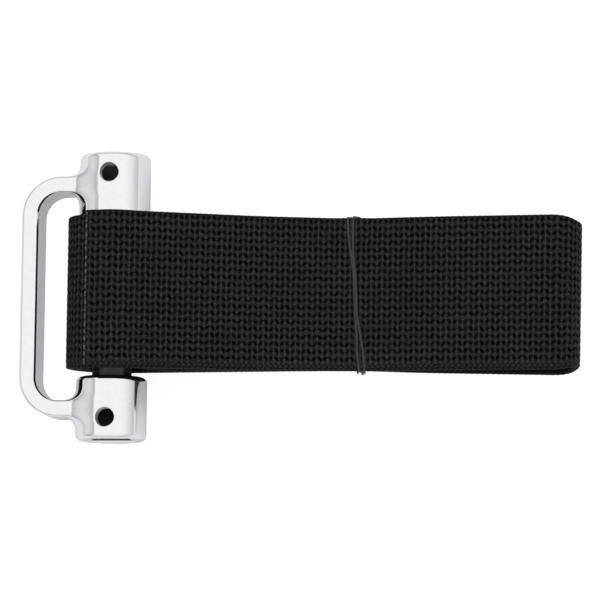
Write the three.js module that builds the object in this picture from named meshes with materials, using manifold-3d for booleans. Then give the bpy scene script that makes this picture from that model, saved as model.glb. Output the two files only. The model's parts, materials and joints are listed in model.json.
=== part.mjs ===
// Strap wrench, drive-socket type, with its webbing rolled up flat and tied.
// Millimetres, +Z up. It lies on its roll: the pin axis runs along Y and the roll runs out along +X.
// The origin is the middle of the underside of the whole object's bounding box.

import * as THREE from 'three';
import { mergeVertices } from 'three/addons/utils/BufferGeometryUtils.js';
import Module from 'manifold-3d';

const wasm = await Module();
wasm.setup();

// ---------- driving dimensions ----------

// frame casting
const BOSS_RADIUS = 11.3;
const BOSS_INNER_Y = 25.6;
const BOSS_OUTER_Y = 45.8;
const BOSS_FILLET = 1.7;
const DRIVE_SQUARE = 12.9;
const DRIVE_DEPTH = 14.0;
const SOCKET_OVERRUN = 1.0;
const BORE_STOP_INSET = 3.0;
const DETENT_RADIUS = 2.9;
const DETENT_INSET = 6.7;
const LOOP_REACH = 29.0;
const LOOP_BAR_WIDTH = 5.5;
const LOOP_ARM_WIDTH = 5.3;
const LOOP_ARM_Y = 35.9;
const LOOP_DEPTH = 14.0;
const LOOP_OUTER_CORNER = 12.7;
const LOOP_EDGE = 1.0;
const ROOT_FILLET = 4.0;
const ROOT_OVERLAP = 0.5;
const ROOT_DEPTH = 3.0;

// pin
const PIN_RADIUS = 6.3;
const PIN_BORE_RADIUS = 6.45;
const PIN_HALF_LENGTH = 30.6;
const PIN_CHAMFER = 0.8;

// webbing
const WEB_WIDTH = 49.8;
const WEB_THICKNESS = 2.6;
const LAYER_PITCH = 2.8;
const EYE_RADIUS = 7.9;
const ROLL_END_X = 149.5;
const TIE_X = 77.6;
const FREE_END_X = -5.4;
const FREE_END_STRAIGHT = 0.2;

// how the strip runs between the pin, the tie and the far end
const TIE_LIFT = 1.1;
const TIE_PITCH = 2.7;
const TIE_BEND = 60;
const WIDE_BEND = 80;
const OUT_BEND_X = 58;
const SETTLE_X = 98;
const BACK_BEND_X = 111;
const INNER_TURN = { x: 140, height: 4, radius: 2 };
const INNER_OVER = { x: 46, z: -3.9, r: 46 };
const MIDDLE_TURN = { x: 144.6, height: 10, radius: 5 };
const OUTER_TURN_HEIGHT = 17.2;

// the sewn lap: the tail above, the first run out below
const TAIL_Z = -4.2;
const TAIL_END_X = 34;
const TAIL_BEND_X = 19.5;
const TAIL_BEND = 7;
const SEAM_RISE_X = 12;
const SEAM_START_X = 20;
const SEAM_END_X = 36;
const RISE_BEND = 40;

// sewing of the eye
const SEAM_FIRST_X = 22.5;
const SEAM_ROW_PITCH = 3.0;
const SEAM_ROWS = 4;
const NEEDLE_HOLES = 8;
const NEEDLE_PITCH = 5.6;
const NEEDLE_HOLE = 1.0;
const NEEDLE_OVERRUN = 0.4;
const THREAD = 0.5;
const THREAD_GAP = 0.1;

// tie
const TIE_THICKNESS = 0.6;
const TIE_WIDTH = 1.6;
const TIE_GAP = 0.3;
const TIE_TOP_GAP = 0.5;
const TIE_INNER_CORNER = 0.4;
const TIE_OUTER_CORNER = 1.0;

const ROUND_SEGMENTS = 48;
const DETENT_SEGMENTS = 32;
const FILLET_STEPS = 4;
const ARC_STEP_DEGREES = 7.5;

// ---------- materials ----------

const chrome = new THREE.MeshStandardMaterial({ color: 0xe9ebee, roughness: 0.08, metalness: 1.0 });
const blackSteel = new THREE.MeshStandardMaterial({ color: 0x1b1b1c, roughness: 0.45, metalness: 0.6 });
const webbing = new THREE.MeshStandardMaterial({ color: 0x232221, roughness: 0.85, metalness: 0.0 });
const thread = new THREE.MeshStandardMaterial({ color: 0x111111, roughness: 0.7, metalness: 0.0 });
const tieCoating = new THREE.MeshStandardMaterial({ color: 0x2e2e2d, roughness: 0.6, metalness: 0.0 });

// ---------- solids ----------

function toSolid(geometry) {
  const bare = geometry.clone();
  bare.deleteAttribute('normal');
  bare.deleteAttribute('uv');
  const merged = mergeVertices(bare, 1e-4);
  const mesh = new wasm.Mesh({
    numProp: 3,
    vertProperties: new Float32Array(merged.attributes.position.array),
    triVerts: new Uint32Array(merged.index.array),
  });
  return new wasm.Manifold(mesh);
}

function toGeometry(solid) {
  const mesh = solid.getMesh();
  const geometry = new THREE.BufferGeometry();
  geometry.setAttribute('position', new THREE.BufferAttribute(new Float32Array(mesh.vertProperties), 3));
  geometry.setIndex(new THREE.BufferAttribute(new Uint32Array(mesh.triVerts), 1));
  geometry.computeVertexNormals();
  return geometry;
}

function boxAt(sizeX, sizeY, sizeZ, x, y, z) {
  const geometry = new THREE.BoxGeometry(sizeX, sizeY, sizeZ);
  geometry.translate(x, y, z);
  return geometry;
}

// A shape drawn in X and Z, extruded by `width` along Y and centred on Y = 0.
function extrudeAlongY(shape, width) {
  const geometry = new THREE.ExtrudeGeometry(shape, { depth: width, bevelEnabled: false });
  geometry.rotateX(Math.PI / 2);
  geometry.translate(0, width / 2, 0);
  return geometry;
}

// ---------- frame: D-loop and two bosses in one casting ----------

// A round bar along +Y from y0 to y1 with rounded rims.
function roundedBoss(y0, y1) {
  const profile = [new THREE.Vector2(0, y0)];
  const fillets = [
    { x: BOSS_RADIUS - BOSS_FILLET, y: y0 + BOSS_FILLET, from: -90 },
    { x: BOSS_RADIUS - BOSS_FILLET, y: y1 - BOSS_FILLET, from: 0 },
  ];
  for (const { x, y, from } of fillets) {
    for (let step = 0; step <= FILLET_STEPS; step += 1) {
      const angle = THREE.MathUtils.degToRad(from + (90 * step) / FILLET_STEPS);
      profile.push(new THREE.Vector2(x + BOSS_FILLET * Math.cos(angle), y + BOSS_FILLET * Math.sin(angle)));
    }
  }
  profile.push(new THREE.Vector2(0, y1));
  return new THREE.LatheGeometry(profile, ROUND_SEGMENTS);
}

// The loop's outline in X and Y: two arms and the bar, with flared roots where the arms meet the bosses.
function loopShape() {
  const outerY = LOOP_ARM_Y + LOOP_ARM_WIDTH / 2;
  const innerY = LOOP_ARM_Y - LOOP_ARM_WIDTH / 2;
  const outerX = -LOOP_REACH;
  const innerX = -LOOP_REACH + LOOP_BAR_WIDTH;
  const innerCorner = LOOP_OUTER_CORNER - LOOP_BAR_WIDTH;
  const rootX = -BOSS_RADIUS + ROOT_OVERLAP;
  const insideX = -BOSS_RADIUS + ROOT_DEPTH;
  const flareX = rootX - ROOT_FILLET;
  const shape = new THREE.Shape();
  shape.moveTo(insideX, outerY + ROOT_FILLET);
  shape.lineTo(rootX, outerY + ROOT_FILLET);
  shape.absarc(flareX, outerY + ROOT_FILLET, ROOT_FILLET, 0, -Math.PI / 2, true);
  shape.absarc(outerX + LOOP_OUTER_CORNER, outerY - LOOP_OUTER_CORNER, LOOP_OUTER_CORNER,
    Math.PI / 2, Math.PI, false);
  shape.absarc(outerX + LOOP_OUTER_CORNER, -outerY + LOOP_OUTER_CORNER, LOOP_OUTER_CORNER,
    Math.PI, 1.5 * Math.PI, false);
  shape.absarc(flareX, -outerY - ROOT_FILLET, ROOT_FILLET, Math.PI / 2, 0, true);
  shape.lineTo(insideX, -outerY - ROOT_FILLET);
  shape.lineTo(insideX, -innerY + ROOT_FILLET);
  shape.lineTo(rootX, -innerY + ROOT_FILLET);
  shape.absarc(flareX, -innerY + ROOT_FILLET, ROOT_FILLET, 0, -Math.PI / 2, true);
  shape.absarc(innerX + innerCorner, -innerY + innerCorner, innerCorner, 1.5 * Math.PI, Math.PI, true);
  shape.absarc(innerX + innerCorner, innerY - innerCorner, innerCorner, Math.PI, Math.PI / 2, true);
  shape.absarc(flareX, innerY - ROOT_FILLET, ROOT_FILLET, Math.PI / 2, 0, true);
  shape.lineTo(insideX, innerY - ROOT_FILLET);
  shape.closePath();
  return shape;
}

function loopBody() {
  const geometry = new THREE.ExtrudeGeometry(loopShape(), {
    depth: LOOP_DEPTH - 2 * LOOP_EDGE,
    bevelEnabled: true,
    bevelThickness: LOOP_EDGE,
    bevelSize: LOOP_EDGE,
    bevelOffset: -LOOP_EDGE,
    bevelSegments: 2,
    curveSegments: 10,
  });
  geometry.translate(0, 0, -LOOP_DEPTH / 2 + LOOP_EDGE);
  return geometry;
}

function frameGeometry() {
  let solid = toSolid(roundedBoss(BOSS_INNER_Y, BOSS_OUTER_Y));
  solid = solid.add(toSolid(roundedBoss(-BOSS_OUTER_Y, -BOSS_INNER_Y)));
  solid = solid.add(toSolid(loopBody()));
  const boreLength = 2 * (BOSS_OUTER_Y - BORE_STOP_INSET);
  const bore = new THREE.CylinderGeometry(PIN_BORE_RADIUS, PIN_BORE_RADIUS, boreLength, ROUND_SEGMENTS);
  solid = solid.subtract(toSolid(bore));
  for (const side of [-1, 1]) {
    const socketY = side * (BOSS_OUTER_Y - DRIVE_DEPTH / 2 + SOCKET_OVERRUN / 2);
    const socket = boxAt(DRIVE_SQUARE, DRIVE_DEPTH + SOCKET_OVERRUN, DRIVE_SQUARE, 0, socketY, 0);
    const detent = new THREE.CylinderGeometry(DETENT_RADIUS, DETENT_RADIUS, 2 * BOSS_RADIUS, DETENT_SEGMENTS);
    detent.rotateX(Math.PI / 2);
    detent.translate(0, side * (BOSS_OUTER_Y - DETENT_INSET), BOSS_RADIUS);
    solid = solid.subtract(toSolid(socket)).subtract(toSolid(detent));
  }
  return toGeometry(solid);
}

function pinGeometry() {
  const profile = [
    new THREE.Vector2(0, -PIN_HALF_LENGTH),
    new THREE.Vector2(PIN_RADIUS - PIN_CHAMFER, -PIN_HALF_LENGTH),
    new THREE.Vector2(PIN_RADIUS, -PIN_HALF_LENGTH + PIN_CHAMFER),
    new THREE.Vector2(PIN_RADIUS, PIN_HALF_LENGTH - PIN_CHAMFER),
    new THREE.Vector2(PIN_RADIUS - PIN_CHAMFER, PIN_HALF_LENGTH),
    new THREE.Vector2(0, PIN_HALF_LENGTH),
  ];
  return toGeometry(toSolid(new THREE.LatheGeometry(profile, ROUND_SEGMENTS)));
}

// ---------- webbing: one strip, sewn to an eye round the pin and rolled up flat ----------

// Where the straight run that leaves `corner` and passes over a circle round the pin meets x = -radius.
function overPin(corner, radius) {
  const distance = Math.hypot(corner.x, corner.z);
  const slope = Math.asin(radius / distance) + Math.atan2(-corner.z, corner.x);
  return { x: -radius, z: corner.z + Math.tan(slope) * (corner.x + radius), r: radius };
}

// The corner on the outermost circle round the pin where the top run bends before its free end.
function freeEndCorners(corner, radius) {
  const over = overPin(corner, radius);
  const run = new THREE.Vector2(over.x - corner.x, over.z - corner.z).normalize();
  const end = new THREE.Vector2(FREE_END_X, Math.sqrt(radius ** 2 - FREE_END_X ** 2));
  const tangent = new THREE.Vector2(-end.y, end.x).normalize();
  const reach = (tangent.x * (end.y - corner.z) - tangent.y * (end.x - corner.x))
    / (tangent.x * run.y - tangent.y * run.x);
  return [
    { x: corner.x + run.x * reach, z: corner.z + run.y * reach, r: radius },
    { x: end.x + tangent.x * FREE_END_STRAIGHT, z: end.y + tangent.y * FREE_END_STRAIGHT, r: 0 },
  ];
}

// The strip's middle line in X and Z: corners with their bend radii, from the sewn tail to the free end.
function rollCorners() {
  const ring = [0, 1, 2, 3].map((layer) => EYE_RADIUS + layer * LAYER_PITCH);
  const tieLevel = [0, 1, 2, 3, 4, 5].map((layer) => -ring[2] + TIE_LIFT + layer * TIE_PITCH);
  const corners = [];
  const put = (x, z, r) => corners.push({ x, z, r });

  // one way round: down the left of the pin, out to the tie along the underside, and on to the turn
  const out = (radius, level) => {
    put(-radius, -radius, radius);
    put(OUT_BEND_X, -radius, WIDE_BEND);
    put(TIE_X, level, TIE_BEND);
    put(SETTLE_X, -radius, WIDE_BEND);
  };
  // the turn at the far end, and back to the tie
  const turnBack = (x, z, height, radius, level) => {
    put(x, z, radius);
    put(x, z + height, radius);
    put(BACK_BEND_X, z + height, WIDE_BEND);
    put(TIE_X, level, TIE_BEND);
  };

  // tail, eye and the first run out, sewn together right of the pin
  const tail = { x: TAIL_BEND_X, z: TAIL_Z };
  put(TAIL_END_X, tail.z, 0);
  put(tail.x, tail.z, TAIL_BEND);
  corners.push(overPin(tail, ring[0]));
  put(-ring[0], -ring[0], ring[0]);
  put(SEAM_RISE_X, -ring[0], RISE_BEND);
  put(SEAM_START_X, tail.z - LAYER_PITCH, RISE_BEND);
  put(SEAM_END_X, tail.z - LAYER_PITCH, TIE_BEND);
  put(TIE_X, tieLevel[2], TIE_BEND);
  put(SETTLE_X, -ring[0], TIE_BEND);

  // three turns of the roll, each back over the pin and out again outside the one before
  turnBack(INNER_TURN.x, -ring[0], INNER_TURN.height, INNER_TURN.radius, tieLevel[3]);
  put(INNER_OVER.x, INNER_OVER.z, INNER_OVER.r);
  corners.push(overPin(INNER_OVER, ring[1]));
  out(ring[1], tieLevel[1]);
  turnBack(MIDDLE_TURN.x, -ring[1], MIDDLE_TURN.height, MIDDLE_TURN.radius, tieLevel[4]);
  const middleOver = { x: INNER_OVER.x + 1, z: INNER_OVER.z + LAYER_PITCH };
  put(middleOver.x, middleOver.z, INNER_OVER.r - LAYER_PITCH);
  corners.push(overPin(middleOver, ring[2]));
  out(ring[2], tieLevel[0]);
  turnBack(ROLL_END_X - WEB_THICKNESS / 2, -ring[2], OUTER_TURN_HEIGHT, OUTER_TURN_HEIGHT / 2, tieLevel[5]);
  const outerOver = { x: middleOver.x + 1, z: middleOver.z + LAYER_PITCH };
  put(outerOver.x, outerOver.z, INNER_OVER.r - 2 * LAYER_PITCH);
  corners.push(...freeEndCorners(outerOver, ring[3]));
  return corners;
}

// Turns corners with bend radii into points: straight runs and true arcs.
function roundedLine(corners) {
  const points = [new THREE.Vector2(corners[0].x, corners[0].z)];
  for (let i = 1; i < corners.length - 1; i += 1) {
    const here = new THREE.Vector2(corners[i].x, corners[i].z);
    const toBefore = new THREE.Vector2(corners[i - 1].x, corners[i - 1].z).sub(here).normalize();
    const toAfter = new THREE.Vector2(corners[i + 1].x, corners[i + 1].z).sub(here).normalize();
    const bend = Math.PI - Math.acos(THREE.MathUtils.clamp(toBefore.dot(toAfter), -1, 1));
    if (bend < 1e-4) continue;
    const reach = corners[i].r * Math.tan(bend / 2);
    const start = here.clone().addScaledVector(toBefore, reach);
    const middle = toBefore.clone().add(toAfter).normalize();
    const centre = here.clone().addScaledVector(middle, corners[i].r / Math.cos(bend / 2));
    const turn = Math.sign(toBefore.y * toAfter.x - toBefore.x * toAfter.y);
    const steps = Math.max(1, Math.ceil(bend / THREE.MathUtils.degToRad(ARC_STEP_DEGREES)));
    for (let step = 0; step <= steps; step += 1) {
      const point = start.clone().rotateAround(centre, turn * bend * (step / steps));
      points.push(point);
    }
  }
  const end = corners[corners.length - 1];
  points.push(new THREE.Vector2(end.x, end.z));
  return points;
}

// The strip's outline seen along Y: the middle line set off by half a thickness to each side.
function stripShape(line, thickness) {
  const left = [];
  const right = [];
  line.forEach((point, i) => {
    const before = line[Math.max(i - 1, 0)];
    const after = line[Math.min(i + 1, line.length - 1)];
    const inward = point.clone().sub(before);
    const outward = after.clone().sub(point);
    const direction = inward.clone().normalize().add(outward.clone().normalize()).normalize();
    const normal = new THREE.Vector2(-direction.y, direction.x);
    left.push(point.clone().addScaledVector(normal, thickness / 2));
    right.push(point.clone().addScaledVector(normal, -thickness / 2));
  });
  return new THREE.Shape(left.concat(right.reverse()));
}

const seamRowX = (row) => SEAM_FIRST_X + row * SEAM_ROW_PITCH;
const needleY = (hole) => (hole - (NEEDLE_HOLES - 1) / 2) * NEEDLE_PITCH;
const seamTop = TAIL_Z + WEB_THICKNESS / 2;
const seamBottom = TAIL_Z - LAYER_PITCH - WEB_THICKNESS / 2;

function strapGeometry() {
  const shape = stripShape(roundedLine(rollCorners()), WEB_THICKNESS);
  let solid = toSolid(extrudeAlongY(shape, WEB_WIDTH));
  const height = seamTop - seamBottom + 2 * NEEDLE_OVERRUN;
  for (let row = 0; row < SEAM_ROWS; row += 1) {
    for (let hole = 0; hole < NEEDLE_HOLES; hole += 1) {
      const middleZ = (seamTop + seamBottom) / 2;
      const needle = boxAt(NEEDLE_HOLE, NEEDLE_HOLE, height, seamRowX(row), needleY(hole), middleZ);
      solid = solid.subtract(toSolid(needle));
    }
  }
  return toGeometry(solid);
}

// One lock-stitched row: a run of thread above, one below, and a strand through each needle hole.
function stitchRowGeometry() {
  const length = (NEEDLE_HOLES - 1) * NEEDLE_PITCH + THREAD;
  const top = seamTop + THREAD_GAP + THREAD / 2;
  const bottom = seamBottom - THREAD_GAP - THREAD / 2;
  let solid = toSolid(boxAt(THREAD, length, THREAD, 0, 0, top));
  solid = solid.add(toSolid(boxAt(THREAD, length, THREAD, 0, 0, bottom)));
  for (let hole = 0; hole < NEEDLE_HOLES; hole += 1) {
    solid = solid.add(toSolid(boxAt(THREAD, THREAD, top - bottom, 0, needleY(hole), (top + bottom) / 2)));
  }
  return toGeometry(solid);
}

// ---------- tie: one loop round the middle of the roll ----------

function roundedRectangle(path, halfWidth, low, high, radius) {
  path.absarc(halfWidth - radius, high - radius, radius, 0, Math.PI / 2, false);
  path.absarc(-halfWidth + radius, high - radius, radius, Math.PI / 2, Math.PI, false);
  path.absarc(-halfWidth + radius, low + radius, radius, Math.PI, 1.5 * Math.PI, false);
  path.absarc(halfWidth - radius, low + radius, radius, 1.5 * Math.PI, 2 * Math.PI, false);
  path.closePath();
}

function tieGeometry() {
  const bottomLayerZ = -(EYE_RADIUS + 2 * LAYER_PITCH) + TIE_LIFT;
  const topLayerZ = bottomLayerZ + 5 * TIE_PITCH;
  const low = bottomLayerZ - WEB_THICKNESS / 2 - TIE_GAP;
  const high = topLayerZ + WEB_THICKNESS / 2 + TIE_TOP_GAP;
  const halfWidth = WEB_WIDTH / 2 + TIE_GAP;
  const shape = new THREE.Shape();
  roundedRectangle(shape, halfWidth + TIE_THICKNESS, low - TIE_THICKNESS, high + TIE_THICKNESS,
    TIE_OUTER_CORNER);
  const hole = new THREE.Path();
  roundedRectangle(hole, halfWidth, low, high, TIE_INNER_CORNER);
  shape.holes.push(hole);
  const geometry = new THREE.ExtrudeGeometry(shape, { depth: TIE_WIDTH, bevelEnabled: false, curveSegments: 4 });
  geometry.translate(0, 0, -TIE_WIDTH / 2);
  // drawn in Y and Z, so the shape's X becomes Y, its Y becomes Z and its depth lies along X
  geometry.applyMatrix4(new THREE.Matrix4().makeBasis(
    new THREE.Vector3(0, 1, 0), new THREE.Vector3(0, 0, 1), new THREE.Vector3(1, 0, 0)));
  return toGeometry(toSolid(geometry));
}

// ---------- assembly ----------

function named(name, geometry, material) {
  const mesh = new THREE.Mesh(geometry, material);
  mesh.name = name;
  return mesh;
}

const wrench = new THREE.Group();

const frameGroup = new THREE.Group();
frameGroup.add(named('frame', frameGeometry(), chrome));
frameGroup.add(named('strap_pin', pinGeometry(), blackSteel));
wrench.add(frameGroup);

const rollGroup = new THREE.Group();
rollGroup.add(named('strap', strapGeometry(), webbing));
for (let row = 0; row < SEAM_ROWS; row += 1) {
  const stitches = named(`eye_stitch_row_${row + 1}`, stitchRowGeometry(), thread);
  stitches.position.x = seamRowX(row);
  rollGroup.add(stitches);
}
const tie = named('roll_tie', tieGeometry(), tieCoating);
tie.position.x = TIE_X;
rollGroup.add(tie);
wrench.add(rollGroup);

// The pin axis is raised so that the roll's underside is at Z = 0, and X = 0 is the middle of the length.
wrench.position.set((LOOP_REACH - ROLL_END_X) / 2, 0, EYE_RADIUS + 2 * LAYER_PITCH + WEB_THICKNESS / 2);

export default wrench;
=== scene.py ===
"""Strap wrench: the visible model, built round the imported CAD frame.

Lengths inside the builders are millimetres measured from the middle of the pin axis: X along the
rolled strap, Y along the pin, Z up. `add_mesh` turns them into metres in the row frame.
"""

import json
import math

import bpy
import numpy as np
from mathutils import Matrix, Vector

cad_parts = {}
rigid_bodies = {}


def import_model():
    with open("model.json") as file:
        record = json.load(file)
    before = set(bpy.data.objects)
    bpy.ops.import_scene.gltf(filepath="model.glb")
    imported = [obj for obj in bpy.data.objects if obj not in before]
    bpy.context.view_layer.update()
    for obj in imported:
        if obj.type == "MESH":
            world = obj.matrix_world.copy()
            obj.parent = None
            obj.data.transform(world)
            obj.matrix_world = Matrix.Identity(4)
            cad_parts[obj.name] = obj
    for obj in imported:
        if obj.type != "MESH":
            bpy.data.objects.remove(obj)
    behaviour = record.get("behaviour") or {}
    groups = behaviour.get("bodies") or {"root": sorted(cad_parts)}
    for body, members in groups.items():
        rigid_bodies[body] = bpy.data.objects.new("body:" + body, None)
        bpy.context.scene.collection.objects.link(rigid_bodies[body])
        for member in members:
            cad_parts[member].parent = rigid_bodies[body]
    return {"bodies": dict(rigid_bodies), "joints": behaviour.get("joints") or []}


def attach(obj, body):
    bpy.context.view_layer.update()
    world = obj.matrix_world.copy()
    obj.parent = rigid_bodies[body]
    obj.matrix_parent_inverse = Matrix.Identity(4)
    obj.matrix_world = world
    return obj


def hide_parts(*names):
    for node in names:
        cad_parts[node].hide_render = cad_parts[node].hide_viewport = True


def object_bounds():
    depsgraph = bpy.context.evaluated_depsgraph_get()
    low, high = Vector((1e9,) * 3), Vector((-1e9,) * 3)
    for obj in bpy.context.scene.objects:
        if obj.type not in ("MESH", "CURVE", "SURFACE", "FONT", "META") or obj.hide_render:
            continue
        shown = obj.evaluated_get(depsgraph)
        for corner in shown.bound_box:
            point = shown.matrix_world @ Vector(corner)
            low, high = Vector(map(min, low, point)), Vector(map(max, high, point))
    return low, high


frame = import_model()
cad_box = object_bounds()

ROLL_BODY = "strap_roll"
FRAME_BODY = "drive_frame"
SWING = next(joint for joint in frame["joints"] if joint["name"] == "frame_swing")
PIN_AXIS_MM = np.array(SWING["pos_m"]) * 1000.0
RANDOM = np.random.default_rng(512)

# ---------- driving dimensions, as in the CAD ----------

BOSS_RADIUS = 11.3
BOSS_INNER_Y = 25.6
BOSS_OUTER_Y = 45.8
BOSS_FILLET = 1.7
DRIVE_HALF = 6.45
DRIVE_CORNER = 0.7
DRIVE_MOUTH = 0.7
DRIVE_FLOOR_Y = BOSS_OUTER_Y - 14.0
BORE_RADIUS = 6.45
DETENT_RADIUS = 2.9
DETENT_Y = BOSS_OUTER_Y - 6.7
LOOP_REACH = 29.0
LOOP_BAR_WIDTH = 5.5
LOOP_ARM_WIDTH = 5.3
LOOP_ARM_Y = 35.9
LOOP_HALF_DEPTH = 7.0
LOOP_OUTER_CORNER = 12.7
LOOP_EDGE = 1.3
LOOP_TO_BOSS_FILLET = 4.5

PIN_RADIUS = 6.3
PIN_HALF_LENGTH = 30.6
PIN_CHAMFER = 0.8

WEB_HALF_WIDTH = 24.6
WEB_HALF_THICKNESS = 1.3
LAYER_PITCH = 2.8
EYE_RADIUS = 7.9
ROLL_END_X = 149.5
TIE_X = 77.6
FREE_END_X = -5.4
TAIL_Z = -4.2

# weave: one cell holds two pits that slant opposite ways. PIT_OFFSET is a share of the cell's length,
# and JITTER makes each pit a little different.
CELL_LENGTH = 3.46
CELL_WIDTH = 2.33
NEAR_SELVEDGE = 2.4
FAR_SELVEDGE = 1.3
EDGE_YARN = 0.82
RIB_RADIUS = 0.62
BRIDGE_RADIUS = 0.78
BRIDGE_SLANT = 0.7
WEAVE_DEPTH = 0.55
PIT_OFFSET = 0.235
PIT_HALF_LENGTH = 0.72
PIT_HALF_WIDTH = 0.37
PIT_SLANT = math.radians(36.0)
JITTER = RANDOM.uniform(-1.0, 1.0, (64, 32, 4))

# stitching, tie
STITCH_LENGTH = 3.3
STITCH_COUNT = 13
STITCH_ROWS = 4
STITCH_ROW_PITCH = 3.0
FIRST_STITCH_X = 22.5
THREAD_RADIUS = 0.26
TIE_RADIUS = 0.38

# camera, in metres from the middle of the pin axis, and its turn in radians
CAMERA_PLACE = (0.3018, -0.1882, 1.5)
CAMERA_TURN = (0.1248, 0.1579, 0.0139)
CAMERA_LENS = 289.7

WHITE = (1.0, 1.0, 1.0)


# ---------- small helpers ----------

def smooth_step(value, start, end):
    t = np.clip((value - start) / (end - start), 0.0, 1.0)
    return t * t * (3.0 - 2.0 * t)


def add_mesh(name, points_mm, faces, body, material, normals=None):
    """Makes a smooth-shaded piece from millimetre points round the pin axis."""
    mesh = bpy.data.meshes.new(name)
    points = (np.asarray(points_mm, float) + PIN_AXIS_MM) * 0.001
    mesh.from_pydata(points.tolist(), [], faces)
    mesh.validate()
    mesh.polygons.foreach_set("use_smooth", np.ones(len(mesh.polygons), bool))
    mesh.update()
    if normals is not None:
        mesh.normals_split_custom_set_from_vertices(np.asarray(normals, float).tolist())
    piece = bpy.data.objects.new(name, mesh)
    bpy.context.scene.collection.objects.link(piece)
    mesh.materials.append(material)
    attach(piece, body)
    return piece


def float_attribute(piece, name, values):
    attribute = piece.data.attributes.new(name, "FLOAT", "POINT")
    attribute.data.foreach_set("value", np.asarray(values, np.float32).ravel())


def grid_faces(rows, columns, wrap_columns):
    """Quads of a grid of points stored row by row."""
    faces = []
    last = columns if wrap_columns else columns - 1
    for i in range(rows - 1):
        for j in range(last):
            k = (j + 1) % columns
            faces.append((i * columns + j, i * columns + k, (i + 1) * columns + k, (i + 1) * columns + j))
    return faces


# ---------- the roll's middle line ----------

def over_pin(corner_x, corner_z, radius):
    """Corner left of the pin, where the straight run from a corner passes over a circle round the pin."""
    distance = math.hypot(corner_x, corner_z)
    slope = math.asin(radius / distance) + math.atan2(-corner_z, corner_x)
    return -radius, corner_z + math.tan(slope) * (corner_x + radius)


def free_end_corners(corner_x, corner_z, radius):
    """The bend over the pin and the end of the strip, on the outermost circle round the pin."""
    over_x, over_z = over_pin(corner_x, corner_z, radius)
    run = np.array([over_x - corner_x, over_z - corner_z])
    run /= np.linalg.norm(run)
    end = np.array([FREE_END_X, math.sqrt(radius ** 2 - FREE_END_X ** 2)])
    tangent = np.array([-end[1], end[0]]) / radius
    gap = end - (corner_x, corner_z)
    reach = (tangent[0] * gap[1] - tangent[1] * gap[0]) / (tangent[0] * run[1] - tangent[1] * run[0])
    bend = (corner_x + run[0] * reach, corner_z + run[1] * reach)
    return bend, tuple(end + tangent * 0.2)


def roll_corners():
    """Corners of the strip's middle line, tail first: x, z, bend radius, sideways drift, half width."""
    ring = [EYE_RADIUS + layer * LAYER_PITCH for layer in range(4)]
    tie_level = [-ring[2] + 1.1 + 2.7 * layer for layer in range(6)]
    corners = []

    def put(x, z, radius, drift, half):
        corners.append((x, z, radius, drift, half))

    # the tail, the eye round the pin, and the first layer out to the far end
    put(34, TAIL_Z, 0, 1.1, 24.3)
    put(19.5, TAIL_Z, 7, 1.1, 24.3)
    put(*over_pin(19.5, TAIL_Z, ring[0]), ring[0], 1.1, 24.3)
    put(-ring[0], -ring[0], ring[0], 1.1, 24.3)
    put(12, -ring[0], 40, 1.2, 24.3)
    put(20, TAIL_Z - LAYER_PITCH, 40, 1.3, 24.3)
    put(36, TAIL_Z - LAYER_PITCH, 60, 1.4, 24.3)
    put(TIE_X, tie_level[2], 60, 1.5, 24.3)
    put(98, -ring[0], 60, 1.6, 24.2)
    # first turn at the far end, and back over the pin
    put(140, -ring[0], 2, 2.1, 24.0)
    put(140, -ring[0] + 4, 2, 2.0, 24.0)
    put(111, -ring[0] + 4, 80, 1.6, 24.1)
    put(TIE_X, tie_level[3], 60, 1.0, 24.2)
    put(46, -3.9, 46, 1.0, 24.3)
    put(*over_pin(46, -3.9, ring[1]), ring[1], 1.1, 24.3)
    # second layer out to the far end
    put(-ring[1], -ring[1], ring[1], 1.15, 24.3)
    put(58, -ring[1], 80, 1.9, 24.3)
    put(TIE_X, tie_level[1], 60, 1.8, 24.3)
    put(98, -ring[1], 80, 1.8, 24.3)
    # second turn, and back over the pin
    put(144.6, -ring[1], 5, 1.8, 24.1)
    put(144.6, -ring[1] + 10, 5, 1.6, 24.1)
    put(111, -ring[1] + 10, 80, 1.2, 24.1)
    put(TIE_X, tie_level[4], 60, 0.7, 24.2)
    put(47, -1.1, 43.2, 0.8, 24.4)
    put(*over_pin(47, -1.1, ring[2]), ring[2], 0.85, 24.6)
    # third layer, along the underside
    put(-ring[2], -ring[2], ring[2], 1.85, 24.6)
    put(58, -ring[2], 80, 2.3, 24.6)
    put(TIE_X, tie_level[0], 60, 2.15, 24.6)
    put(98, -ring[2], 80, 1.65, 24.6)
    # outermost turn, and back to the free end on top of the pin
    end_x = ROLL_END_X - WEB_HALF_THICKNESS
    put(end_x, -ring[2], 8.6, 0.65, 24.55)
    put(end_x, -ring[2] + 17.2, 8.6, 0.75, 24.5)
    put(111, -ring[2] + 17.2, 80, 0.6, 24.35)
    put(TIE_X, tie_level[5], 60, 0.5, 24.35)
    put(48, 1.7, 40.4, 1.1, 24.6)
    bend, end = free_end_corners(48, 1.7, ring[3])
    put(*bend, ring[3], 1.1, 25.1)
    put(*end, 0, 1.1, 25.2)
    return corners


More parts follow.
